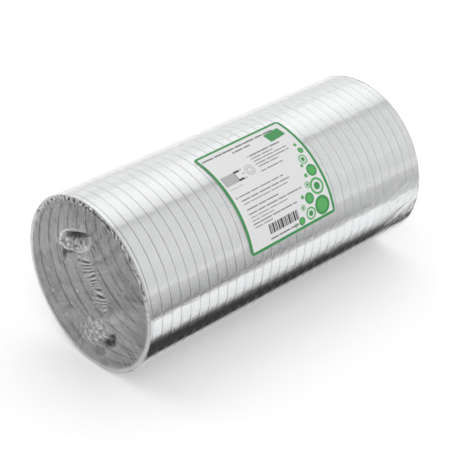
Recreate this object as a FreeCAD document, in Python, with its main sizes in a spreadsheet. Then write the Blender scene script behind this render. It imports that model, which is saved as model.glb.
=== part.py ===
"""Flexible aluminium air duct, packed short in clear shrink film, with a paper label.

The duct lies on its side along X, its two open ends at -X (near) and +X (far), and rests on Z = 0.
Its strip is wound in turns that fold up like a bellows. Two turns make one section, so that the duct
can draw out and bend between its sections. Sizes are in millimetres.
"""

import FreeCAD, Part
import math
import os

from FreeCAD import Placement, Rotation, Vector

X_AXIS = Vector(1, 0, 0)
Z_AXIS = Vector(0, 0, 1)
ALONG_X = Rotation(Vector(0, 1, 0), 90)

doc = FreeCAD.newDocument("air_duct")


# Driving dimensions

SIZES = (
    ("bore_diameter", 150, "Inside of the packed folds, the size that the duct is sold by"),
    ("fold_depth", 3, "Height of the folded wall, from the bore to the crests"),
    ("turn_pitch", 10, "Length of one packed turn of the strip"),
    ("section_turns", 2, "Turns in one section"),
    ("section_count", 16, "Sections from the near end to the far end"),
    ("seam_slope", 1.5, "Length over which a section's wall drops into the seam beside it"),
    ("bore_relief", 0.6, "How much further out the inner sections' bore stands than the two ends'"),
    ("film_gap", 0.2, "Clearance between the crests and the film"),
    ("film_wall", 0.3, "Wall of the film round the duct"),
    ("film_end_wall", 0.6, "Wall of the film gathered over each open end"),
    ("foot_depth", 0.5, "Depth of the flat that the duct lies on"),
    ("weld_width", 5, "Width of the weld's ridge at its foot"),
    ("weld_crest", 1.6, "Width of the weld's ridge at its top"),
    ("weld_rise", 2.6, "Height of the weld's ridge above the film"),
    ("ear_foot_radius", 16, "Radius of a gathered ear at its foot, over the pleats"),
    ("ear_tip_radius", 6.5, "Radius of a gathered ear at its tip, over the pleats"),
    ("ear_rise", 4, "Height of a gathered ear above the film"),
    ("ear_pleats", 7, "Pleats round an ear"),
    ("pleat_depth", 4, "How far the film draws in between two pleats at the ear's foot"),
    ("vent_radius", 3.5, "Radius of the vent left open at an ear's tip"),
    ("ear_stretch", 1.4, "How far the upper ear is drawn out along its slant"),
    ("ear_slant", 159, "Slant of the upper ear, from +Y towards +Z"),
    ("label_length", 100, "Label along the duct"),
    ("label_height", 100, "Label round the duct"),
    ("label_thickness", 0.2, "Paper and its glue"),
    ("label_offset", -1.7, "Label's middle from the duct's middle, along X"),
    ("label_angle", 48, "Label's middle above the level of the axis, on the -Y side"),
    ("label_turn", 1.6, "How far the label was stuck on askew"),
)

sheet = doc.addObject("Spreadsheet::Sheet", "Sizes")
for row, (alias, value, meaning) in enumerate(SIZES, start=1):
    sheet.set(f"A{row}", meaning)
    sheet.set(f"B{row}", str(value))
    sheet.setAlias(f"B{row}", alias)
doc.recompute()

BORE_RADIUS = "Sizes.bore_diameter / 2"
CREST_RADIUS = f"({BORE_RADIUS} + Sizes.fold_depth)"
FILM_INNER = f"({CREST_RADIUS} + Sizes.film_gap)"
FILM_OUTER = f"({FILM_INNER} + Sizes.film_wall)"
AXIS_HEIGHT = f"({FILM_OUTER} - Sizes.foot_depth)"
SECTION_LENGTH = "(Sizes.section_turns * Sizes.turn_pitch)"
DUCT_LENGTH = f"({SECTION_LENGTH} * Sizes.section_count)"


def size(alias):
    """One driving dimension as a number."""
    return float(sheet.get(alias))


def film_radius():
    """Outer radius of the film round the duct."""
    return size("bore_diameter") / 2 + size("fold_depth") + size("film_gap") + size("film_wall")


def bind(item, **expressions):
    """Tie properties of an object to the sheet. Two underscores stand for the dot of a sub-property."""
    for name, expression in expressions.items():
        item.setExpression(name.replace("__", "."), expression)
    return item


def x_cylinder(name, radius, length, start):
    """A cylinder on the duct's axis from X = start."""
    item = doc.addObject("Part::Cylinder", name)
    item.Placement = Placement(Vector(), ALONG_X)
    return bind(
        item,
        Radius=radius,
        Height=length,
        Placement__Base__x=start,
        Placement__Base__z=AXIS_HEIGHT,
    )


def x_circle(name, radius, position):
    """A circle round the duct's axis at X = position."""
    item = doc.addObject("Part::Circle", name)
    item.Placement = Placement(Vector(), ALONG_X)
    return bind(
        item, Radius=radius, Placement__Base__x=position, Placement__Base__z=AXIS_HEIGHT
    )


def floor_block(name, top, start, length):
    """A block under the part, whose top face is at Z = top. It cuts a flat to lie on."""
    item = doc.addObject("Part::Box", name)
    return bind(
        item,
        Length=length,
        Width=f"2 * {FILM_OUTER}",
        Height="20 * Sizes.foot_depth",
        Placement__Base__x=start,
        Placement__Base__y=f"-{FILM_OUTER}",
        Placement__Base__z=f"{top} - 20 * Sizes.foot_depth",
    )


def cut(name, base, tool):
    """The first solid without the second."""
    item = doc.addObject("Part::Cut", name)
    item.Base = base
    item.Tool = tool
    return item


def faceted_solid(rings):
    """A solid with flat facets through rings of corners, closed by the first and the last ring."""
    faces = [Part.Face(Part.makePolygon(ring + ring[:1])) for ring in (rings[0], rings[-1])]
    for lower, upper in zip(rings, rings[1:]):
        for here in range(len(lower)):
            there = (here + 1) % len(lower)
            for corners in (
                (lower[here], lower[there], upper[there]),
                (lower[here], upper[there], upper[here]),
            ):
                faces.append(Part.Face(Part.makePolygon(corners + corners[:1])))
    shell = Part.makeShell(faces)
    return Part.makeSolid(shell)


# Duct: one wound strip, in sections of two folded turns


def duct_section(index, count):
    """Two packed turns: a rib that drops to the bore at the seam on each side."""
    label = f"duct_turns_{index + 1:02d}"
    start = f"({index} * {SECTION_LENGTH} - {DUCT_LENGTH} / 2)"
    end = f"({start} + {SECTION_LENGTH})"
    is_near, is_far = index == 0, index == count - 1
    inner_bore = f"({BORE_RADIUS} + Sizes.bore_relief)"
    bore = BORE_RADIUS if is_near or is_far else inner_bore
    rings = [
        x_circle(f"{label}_start", BORE_RADIUS if is_near else inner_bore, start),
        x_circle(f"{label}_rise", CREST_RADIUS, f"{start} + Sizes.seam_slope"),
        x_circle(f"{label}_fall", CREST_RADIUS, f"{end} - Sizes.seam_slope"),
        x_circle(f"{label}_end", BORE_RADIUS if is_far else inner_bore, end),
    ]
    rib = doc.addObject("Part::Loft", f"{label}_rib")
    rib.Sections = rings
    rib.Solid = True
    rib.Ruled = True
    core = x_cylinder(f"{label}_bore", bore, SECTION_LENGTH, start)
    ring = cut(f"{label}_ring", rib, core)
    floor = floor_block(
        f"{label}_floor", "(Sizes.film_wall + Sizes.film_gap)", start, SECTION_LENGTH
    )
    section = cut(f"{label}_solid", ring, floor)
    section.Label = label
    return section


# Film: shrunk round the duct and gathered over its ends


def film_sleeve():
    """The film's tube, with the flat that the duct lies on."""
    start = f"(-{DUCT_LENGTH} / 2)"
    outside = cut(
        "sleeve_outside",
        x_cylinder("sleeve_skin", FILM_OUTER, DUCT_LENGTH, start),
        floor_block("sleeve_floor", "0", start, DUCT_LENGTH),
    )
    inside = cut(
        "sleeve_inside",
        x_cylinder("sleeve_hollow", FILM_INNER, DUCT_LENGTH, start),
        floor_block("sleeve_hollow_floor", "Sizes.film_wall", start, DUCT_LENGTH),
    )
    sleeve = cut("sleeve_solid", outside, inside)
    sleeve.Label = "film_sleeve"
    return sleeve


# The weld runs across the end, in shares of the film's radius: (Y, height above the axis)
WELD_ROUTE = ((0.17, 0.46), (0.10, 0.30), (-0.04, 0.06), (-0.18, -0.26), (-0.20, -0.53))
# An ear stands at each end of the weld: the upper one, which is drawn out, and the lower one
EARS = ((0.16, 0.45), (-0.22, -0.54))


def weld_ridge(radius, wall):
    """The puckered weld along its route: its foot sits in the film and its crest stands out along -X."""
    half_foot, half_crest = size("weld_width") / 2, size("weld_crest") / 2
    points = [Vector(0, y * radius, z * radius) for y, z in WELD_ROUTE]
    rings = []
    for number, point in enumerate(points):
        before = points[max(number - 1, 0)]
        after = points[min(number + 1, len(points) - 1)]
        side = (after - before).cross(X_AXIS).normalize()
        foot, crest = Vector(wall / 2, 0, 0), Vector(-size("weld_rise"), 0, 0)
        rings.append([
            point + foot - side * half_foot,
            point + crest - side * half_crest,
            point + crest + side * half_crest,
            point + foot + side * half_foot,
        ])
    return faceted_solid(rings)


def pleated_ear(centre, wall, stretch, slant):
    """A gathered corner as a cone of pleats, from its foot inside the film to its blunt tip.

    It is longer by stretch along its slant, and narrower by as much across it.
    """
    foot, pleats = size("ear_foot_radius"), int(size("ear_pleats"))
    long_way = Vector(0, math.cos(math.radians(slant)), math.sin(math.radians(slant)))
    short_way = X_AXIS.cross(long_way)
    rings = []
    for x, scale in ((wall / 2, 1), (-size("ear_rise"), size("ear_tip_radius") / foot)):
        corners = []
        for step in range(2 * pleats):
            reach = scale * (foot - (step % 2) * size("pleat_depth"))
            angle = math.pi * step / pleats
            along = long_way * (stretch * reach * math.cos(angle))
            across = short_way * (reach * math.sin(angle) / stretch)
            corners.append(centre + X_AXIS * x + along + across)
        rings.append(corners)
    return faceted_solid(rings)


def film_end(side):
    """The film over one open end: a drum skin with its weld, ears and vents. side is near or far."""
    radius = film_radius()
    wall = size("film_end_wall")
    height = radius - size("foot_depth")
    skin = Part.makeCylinder(radius, wall, Vector(), X_AXIS)
    skin = skin.fuse(weld_ridge(radius, wall))
    centres = [Vector(0, y * radius, z * radius) for y, z in EARS]
    stretches = (size("ear_stretch"), 1)
    for centre, stretch in zip(centres, stretches):
        skin = skin.fuse(pleated_ear(centre, wall, stretch, size("ear_slant")))
    for centre, stretch in zip(centres, stretches):
        tip = centre - X_AXIS * size("ear_rise")
        reach = size("vent_radius") / stretch
        vent = Part.makeCylinder(reach, size("ear_rise") + wall, tip, X_AXIS)
        skin = skin.cut(vent)
    below = Part.makeBox(2 * radius, 2 * radius, radius)
    below.translate(Vector(-radius, -radius, -height - radius))
    skin = skin.cut(below).removeSplitter()

    item = doc.addObject("Part::Feature", f"{side}_end_solid")
    item.Shape = skin
    half = size("section_turns") * size("turn_pitch") * size("section_count") / 2
    if side == "near":
        item.Placement = Placement(Vector(-half - wall, 0, height), Rotation())
    else:
        item.Placement = Placement(Vector(half + wall, 0, height), Rotation(Z_AXIS, 180))
    item.Label = f"{side}_film_end"
    return item


# Label: paper on the film, square to the radius at its middle


def paper_label():
    """The label as the part of a thin tube that lies inside a block turned to face it."""
    outer = f"({FILM_OUTER} + Sizes.label_thickness)"
    start = f"(-{DUCT_LENGTH} / 2)"
    shell = cut(
        "label_shell",
        x_cylinder("label_outside", outer, DUCT_LENGTH, start),
        x_cylinder("label_inside", FILM_OUTER, DUCT_LENGTH, start),
    )
    radius = film_radius()
    length, angle = size("label_length"), math.radians(size("label_angle"))
    chord = 2 * radius * math.sin(size("label_height") / (2 * radius))
    outward = Vector(0, -math.cos(angle), math.sin(angle))
    facing = Rotation(X_AXIS, 90 - size("label_angle")).multiply(Rotation(Z_AXIS, size("label_turn")))
    block = doc.addObject("Part::Box", "label_block")
    bind(block, Length="Sizes.label_length", Height=f"{FILM_OUTER}")
    block.Width = chord
    corner = facing.multVec(Vector(-length / 2, -chord / 2, 0))
    centre = Vector(size("label_offset"), 0, radius - size("foot_depth"))
    block.Placement = Placement(centre + outward * (radius / 2) + corner, facing)
    label = doc.addObject("Part::Common", "label_solid")
    label.Base = shell
    label.Tool = block
    label.Label = "paper_label"
    return label


count = int(size("section_count"))
pieces = [duct_section(index, count) for index in range(count)]
pieces.append(film_sleeve())
pieces.extend(film_end(side) for side in ("near", "far"))
pieces.append(paper_label())
doc.recompute()

for item in doc.Objects:
    if "Invalid" in item.State or "Error" in item.State:
        raise RuntimeError(f"{item.Label} did not build: {item.State}")
for item in pieces:
    if item.Shape.isNull() or not item.Shape.isValid() or len(item.Shape.Solids) != 1:
        raise RuntimeError(f"{item.Label} is not one valid solid")

os.makedirs("parts", exist_ok=True)
for item in pieces:
    item.Shape.exportStep(f"parts/{item.Label}.step")
    box = item.Shape.BoundBox
    print(item.Label, round(item.Shape.Volume), [round(v, 2) for v in (box.XMin, box.XMax, box.ZMin, box.ZMax)])
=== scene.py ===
import math

import bpy
import numpy as np
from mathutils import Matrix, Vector


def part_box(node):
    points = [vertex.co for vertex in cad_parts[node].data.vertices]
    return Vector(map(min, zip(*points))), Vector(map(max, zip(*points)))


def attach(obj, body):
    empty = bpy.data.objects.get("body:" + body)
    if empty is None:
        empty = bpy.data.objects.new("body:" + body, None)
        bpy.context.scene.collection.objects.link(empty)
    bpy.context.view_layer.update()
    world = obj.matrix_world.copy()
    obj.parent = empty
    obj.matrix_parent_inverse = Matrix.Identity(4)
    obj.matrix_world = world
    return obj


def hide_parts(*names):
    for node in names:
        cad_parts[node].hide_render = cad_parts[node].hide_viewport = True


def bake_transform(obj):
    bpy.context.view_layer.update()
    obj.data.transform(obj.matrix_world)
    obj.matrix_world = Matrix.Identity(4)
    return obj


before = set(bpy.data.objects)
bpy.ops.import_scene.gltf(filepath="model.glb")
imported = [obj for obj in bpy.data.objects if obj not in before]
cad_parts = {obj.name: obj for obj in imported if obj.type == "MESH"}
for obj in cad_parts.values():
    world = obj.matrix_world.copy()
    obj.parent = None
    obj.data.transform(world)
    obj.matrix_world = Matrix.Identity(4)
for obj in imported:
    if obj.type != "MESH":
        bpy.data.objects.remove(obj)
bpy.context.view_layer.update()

bl_info = {
    "name": "Flexible air duct",
    "version": (1, 0, 0),
    "blender": (4, 5, 0),
    "location": "3D View > Sidebar > Duct",
    "description": "A folded aluminium duct packed short in clear shrink film",
    "category": "Add Mesh",
}

MM = 0.001
TAU = 2 * math.pi
DUCT_LOW, DUCT_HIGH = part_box("duct_turns_08")
FILM_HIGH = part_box("film_sleeve")[1]
AXIS_Z = DUCT_HIGH.z / 2
DUCT_FLOOR = DUCT_LOW.z
HALF_LENGTH = FILM_HIGH.x
# The clear film's wall, and the least wall where a piece rests flat
FILM_WALL = 0.1 * MM
# Where the locked seam crosses the level of the axis on the -Y side, in turns from the middle
FIRST_SEAM = 0.25
# Grid columns round the duct, and the folds in one turn of the strip
COLUMNS = 192
FOLDS = 8

# Where the duct's stretches meet, in mm along the axis. Stretch n lies between the ring bodies
# n - 1 and n, and the first and the last one follow a single body.
STRETCH_ENDS = (-160, -145, -135, -105, -95, -65, -55, -30, -10, 10, 30, 55, 65, 95, 105, 135, 145, 160)
STRETCHES = [(low * MM, high * MM) for low, high in zip(STRETCH_ENDS, STRETCH_ENDS[1:])]
LAST_BODY = 16


def length_setting(name, description, default):
    """A length that a user may change."""
    return bpy.props.FloatProperty(
        name=name, description=description, default=default, unit="LENGTH"
    )


def angle_setting(name, description, degrees):
    """An angle that a user may change."""
    return bpy.props.FloatProperty(
        name=name, description=description, default=math.radians(degrees), subtype="ANGLE"
    )


def colour_setting(name, description, default):
    """A colour that a user may change."""
    return bpy.props.FloatVectorProperty(
        name=name, description=description, default=default, subtype="COLOR", size=3, min=0, max=1
    )


class DuctSizes(bpy.types.PropertyGroup):
    """Sizes of the duct, its film and its label"""

    crest_radius: length_setting(
        "Crest radius", "Radius of the folds' outer crests", DUCT_HIGH.z - AXIS_Z
    )
    bore_radius: length_setting("Bore radius", "Radius of the folds' inner crests", 0.075)
    turn_pitch: length_setting("Turn pitch", "How far the strip advances in one turn", 0.010)
    film_radius: length_setting("Film radius", "Outer radius of the clear film", 0.07842)
    label_length: length_setting("Label length", "Paper label along the duct", 0.100)
    label_height: length_setting("Label height", "Paper label round the duct", 0.100)
    label_angle: angle_setting("Label angle", "Label's middle above the level of the axis", 48)
    label_turn: angle_setting("Label turn", "How far the label is stuck on askew", 1.6)


class DuctColours(bpy.types.PropertyGroup):
    """Colours of the duct, its film, its label and the stage"""

    foil: colour_setting("Foil", "Aluminium strip", (0.90, 0.905, 0.91))
    film: colour_setting("Film", "Clear film where it is gathered", (0.84, 0.85, 0.86))
    paper: colour_setting("Paper", "Label paper", (0.78, 0.78, 0.79))
    green: colour_setting("Green", "Label border", (0.034, 0.283, 0.069))
    leaf: colour_setting("Light green", "Lighter green of the label", (0.09, 0.42, 0.11))
    grey_ink: colour_setting("Grey ink", "Lines of print", (0.16, 0.16, 0.16))
    black_ink: colour_setting("Black ink", "Solid bars of print", (0.025, 0.025, 0.028))
    floor: colour_setting("Floor", "Pale floor", (0.93, 0.93, 0.93))


def in_scene(name, data):
    """An object for a mesh, a lamp or a camera, put in the scene."""
    made = bpy.data.objects.new(name, data)
    bpy.context.scene.collection.objects.link(made)
    return made


def add_layer(mesh, title, kind, domain, values):
    """Values that the mesh carries for its material to read."""
    layer = mesh.attributes.new(title, kind, domain)
    field = {"FLOAT": "value", "FLOAT_VECTOR": "vector", "FLOAT_COLOR": "color"}[kind]
    layer.data.foreach_set(field, values.astype(np.float32).ravel())


def mesh_piece(name, points, quads, corner_uv, material, flat_from, **masks):
    """A mesh object from points (n, 3), quads (m, 4) and the UV of each quad's corners (m, 4, 2).
    Repeated corners and unused points go. The quads from flat_from on are flat, and each mask is a
    number for every quad. Returns the object and the numbers of its points."""
    distinct = quads != np.roll(quads, 1, axis=1)
    kept = distinct.sum(axis=1) >= 3
    smooth = np.arange(len(quads))[kept] < flat_from
    distinct = distinct[kept]
    starts = np.concatenate([[0], np.cumsum(distinct.sum(axis=1))[:-1]])
    used, corners = np.unique(quads[kept][distinct], return_inverse=True)
    mesh = bpy.data.meshes.new(name)
    mesh.vertices.add(len(used))
    mesh.vertices.foreach_set("co", points[used].astype(np.float32).ravel())
    mesh.loops.add(len(corners))
    mesh.loops.foreach_set("vertex_index", corners.astype(np.int32).ravel())
    mesh.polygons.add(len(starts))
    mesh.polygons.foreach_set("loop_start", starts.astype(np.int32))
    mesh.update(calc_edges=True)
    layer = mesh.uv_layers.new(name="UVMap")
    layer.data.foreach_set("uv", corner_uv[kept][distinct].astype(np.float32).ravel())
    mesh.polygons.foreach_set("use_smooth", smooth)
    # a flat face's edges are sharp, so that it doesn't bend the shading beside it
    edge_of = np.empty(len(mesh.loops), np.int32)
    mesh.loops.foreach_get("edge_index", edge_of)
    sharp = np.zeros(len(mesh.edges), bool)
    sharp[edge_of[starts[np.argmin(smooth)] :]] = not smooth[-1]
    mesh.edges.foreach_set("use_edge_sharp", sharp)
    for title, values in masks.items():
        add_layer(mesh, title, "FLOAT", "FACE", values[kept])
    mesh.materials.append(material)
    mesh.update()
    return in_scene(name, mesh), used


def grid_quads(numbers):
    """The four corners of each cell in a grid of numbers."""
    corners = (numbers[:-1, :-1], numbers[1:, :-1], numbers[1:, 1:], numbers[:-1, 1:])
    return np.stack(corners, axis=-1).reshape(-1, 4)


def rising(value, start, long):
    """A straight rise from 0 to 1 that begins at start and is this long."""
    return np.clip((value - start) / long, 0, 1)


def bell(value, wide):
    """A bell curve: e to the power of minus the square of value over width."""
    return np.exp(-((value / wide) ** 2))


def on_round(x, radius, angle):
    """Points at a radius from the axis, at an angle that goes from the -Y side over the top."""
    return np.stack([x, -radius * np.cos(angle), AXIS_Z + radius * np.sin(angle)], axis=-1)


def wound_wall(start, end, pitch, marks, radius_of, floor):
    """A wall between two planes across the axis, whose grid lines follow the wound strip. Line k at
    angle a lies at x = pitch * (mark k + a / full turn + first seam), held between the planes, at
    the radius that radius_of gives. Returns points, quads, corner angles and the two rims."""
    first = math.floor(start / pitch) - 2
    turns = math.ceil(end / pitch) + 1 - first
    mark = (np.arange(first, first + turns)[:, None] + marks[None, :]).ravel()
    column = np.arange(COLUMNS)
    angle = TAU * column / COLUMNS
    raw = pitch * (mark[:, None] + angle[None, :] / TAU + FIRST_SEAM)
    x = np.clip(raw, start, end)
    radius = radius_of(x / pitch - angle / TAU - FIRST_SEAM, np.broadcast_to(angle, x.shape), x)
    points = on_round(x, radius, angle)
    points[..., 2] = np.maximum(points[..., 2], floor)
    low = (raw <= start).sum(axis=0) - 1
    high = (raw < end).sum(axis=0)
    k = np.arange(len(mark))[:, None]
    ids = np.clip(k, low, high) * COLUMNS + column
    closing = np.clip(k + len(marks), low[0], high[0]) * COLUMNS
    ids = np.concatenate([ids, closing], axis=1)
    turned_by = np.broadcast_to(np.arange(COLUMNS + 1), ids.shape)
    rims = (low * COLUMNS + column, high * COLUMNS + column)
    return points.reshape(-1, 3), grid_quads(ids), TAU * grid_quads(turned_by) / COLUMNS, rims


def closed_tube(name, start, end, pitch, outer, inner, floor, material):
    """A closed ring of wall: an outer and an inner wound wall, each given by its marks and its
    radius function, joined by a flat ring at each end."""
    points_o, quads_o, angle_o, rims_o = wound_wall(start, end, pitch, *outer, floor)
    points_i, quads_i, angle_i, rims_i = wound_wall(start, end, pitch, *inner, floor + FILM_WALL)
    shift = len(points_o)
    points = np.concatenate([points_o, points_i])
    column = np.arange(COLUMNS)
    ring_angle = TAU * np.stack([column, column + 1, column + 1, column], axis=-1) / COLUMNS
    rings = []
    for o, i in zip(rims_o, rims_i):
        corners = (o, np.roll(o, -1), np.roll(i, -1) + shift, i + shift)
        rings.append(np.stack(corners, axis=-1))
    quads = np.concatenate([quads_o, quads_i[:, ::-1] + shift, rings[0], rings[1][:, ::-1]])
    angles = np.concatenate([angle_o, angle_i[:, ::-1], ring_angle, ring_angle[:, ::-1]])
    u = points[quads][..., 0] / pitch - angles / TAU - FIRST_SEAM
    uv = np.stack([u, angles / TAU], axis=-1)
    # the rings between two stretches are marked, so that a clear wall shows no line there
    rings_from = len(quads) - 2 * COLUMNS
    face = np.arange(len(quads))
    inside = (face >= len(quads_o)) & (face < rings_from)
    short_of_end = HALF_LENGTH - FILM_WALL
    meets = (start > -short_of_end, end < short_of_end)
    cut = (face >= rings_from) & np.where(face < rings_from + COLUMNS, *meets)
    return mesh_piece(name, points, quads, uv, material, rings_from, cut=cut, inside=inside)[0]


# Where the grid lines stand in one fold, outside and in the bore
OUTER_PLACES = (0.0, 0.05, 0.13, 0.29, 0.5, 0.71, 0.87, 0.95)
INNER_PLACES = (0.0, 0.33, 0.5, 0.67)
# The outer folds, in mm: how far they stand below the crest radius, a crest's fall, a groove's
# depth, what it gains at a locked seam, and the seam's own dip
CREST_BELOW, CREST_FALL, GROOVE, SEAM_GROOVE, SEAM_DIP = 0.15, 0.42, 1.3, 0.6, 0.30
# How far a turn sinks towards its seams, in mm: by the square of the distance from its middle, more
# of that at the far end, and by the eighth power
TURN_SINK, FAR_SINK, LAST_DROP = 0.10, 0.30, 0.07
# The bore's folds, in mm: a crest's fall and a groove's depth
BORE_FALL, BORE_GROOVE = 0.35, 1.0
# Where the turns are pressed, as an angle below the axis, and how far that reaches
PRESSED_BELOW, PRESSED_WIDE = 0.24, 0.38


def fold_marks(places):
    """The grid lines of one turn: the same places in each of its folds."""
    return (np.arange(FOLDS)[:, None] + np.array(places)[None, :]).ravel() / FOLDS


def fold_profile(phase, top):
    """How far a fold falls, as shares: by the cube of the distance from its crest's middle, over
    the share top, and straight down into the groove beyond that."""
    across = np.abs(2 * ((phase * FOLDS) % 1) - 1)
    return np.minimum(across / top, 1) ** 3, rising(across, top, 1 - top)


def from_seam(phase, sizes):
    """Distance along the duct from the nearest locked seam."""
    return np.abs((phase % 1 + 0.5) % 1 - 0.5) * sizes.turn_pitch


def turn_waves(phase, angle):
    """How far the wound strip strays from a true circle: sines along the strip, whose length in
    turns is its phase's whole part and the share of a turn, with shorter ones low on the -Y side,
    where the turns are pressed, and fine ones for each fold."""
    along = TAU * (np.floor(phase) + angle / TAU)
    pressed = bell((angle + math.pi + PRESSED_BELOW) % TAU - math.pi, PRESSED_WIDE)
    return (
        0.060 * pressed * np.sin(21.7 * along + 1.4 * np.sin(5.3 * along))
        + (0.008 + 0.016 * pressed) * np.sin(31 * angle + 2.4 * np.floor(phase * FOLDS))
        + 0.045 * np.sin(2.37 * along)
        + 0.030 * np.sin(7.61 * along + 1.0)
        + 0.020 * np.sin(23.3 * along + 2.0 + np.sin(3.1 * along))
    ) * MM


def outer_fold_radius(sizes):
    """Outer side of the folds: broad crests, narrow grooves, deeper ones at the locked seams, and
    turns that are flat in their middle and sink towards the seams."""

    def radius(phase, angle, x):
        fall, groove = fold_profile(phase, 0.9)
        seam = bell(from_seam(phase, sizes), 0.7 * MM)
        drop = CREST_FALL * fall + (GROOVE + SEAM_GROOVE * seam) * groove + SEAM_DIP * seam
        from_middle = 2 * (phase % 1) - 1
        sink = TURN_SINK + FAR_SINK * rising(x, 0.02, 0.07)
        drop = drop + sink * from_middle**2 + LAST_DROP * from_middle**8
        waves = turn_waves(phase, angle) * (1 - seam)
        return sizes.crest_radius - (CREST_BELOW + drop) * MM + waves

    return radius


def inner_fold_radius(sizes):
    """Inner side of the folds: plain crests turned inwards, half a fold further on."""

    def radius(phase, angle, x):
        fall, groove = fold_profile(phase + 0.5 / FOLDS, 0.8)
        return sizes.bore_radius + (BORE_FALL * fall + BORE_GROOVE * groove) * MM

    return radius


FILM_MARKS = np.array((0.0, 0.035, 0.08, 0.16, 0.3, 0.5, 0.7, 0.84, 0.92, 0.965))


def film_radius_of(sizes, wall):
    """The film bridges the folds, dips at each seam and is drawn in with fine creases at both
    rims."""

    def radius(phase, angle, x):
        dip = 0.16 * bell(from_seam(phase, sizes), 0.5 * MM)
        rim = np.exp(-((HALF_LENGTH - np.abs(x)) / (4 * MM)))
        creases = np.sin(61 * angle + 3 * np.sin(5 * angle)) + 0.6 * np.sin(97 * angle)
        return sizes.film_radius - wall - (dip + 0.10 * rim * (1.6 - creases)) * MM

    return radius


# The gathered film over the near end, in shares of the film's radius: the weld's route in (Y, Z),
# its half width, the step from one gather to the next and the gathers' slant
WELD = (
    (0.12, 0.33), (0.03, 0.24), (-0.04, 0.15), (-0.12, 0.05),
    (-0.20, -0.03), (-0.21, -0.12), (-0.15, -0.25),
)
WELD_HALF, PLEAT, GATHER_SLANT = 0.115, 0.044, math.radians(154)
UPPER_EAR, LOWER_EAR = (0.17, 0.43), (-0.12, -0.56)
# The ears' crumpled film: middle, slant, half length, half width, rise in mm and fineness
EARS = ((UPPER_EAR, 158, 0.27, 0.09, 0.6, 44), (LOWER_EAR, 150, 0.32, 0.17, 1.3, 33))
# The upper ear's rolled lip, an oval ring
LIP, LIP_SLANT, LIP_LONG, LIP_WIDE = (0.172, 0.468), math.radians(158), 0.270, 0.122
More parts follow.
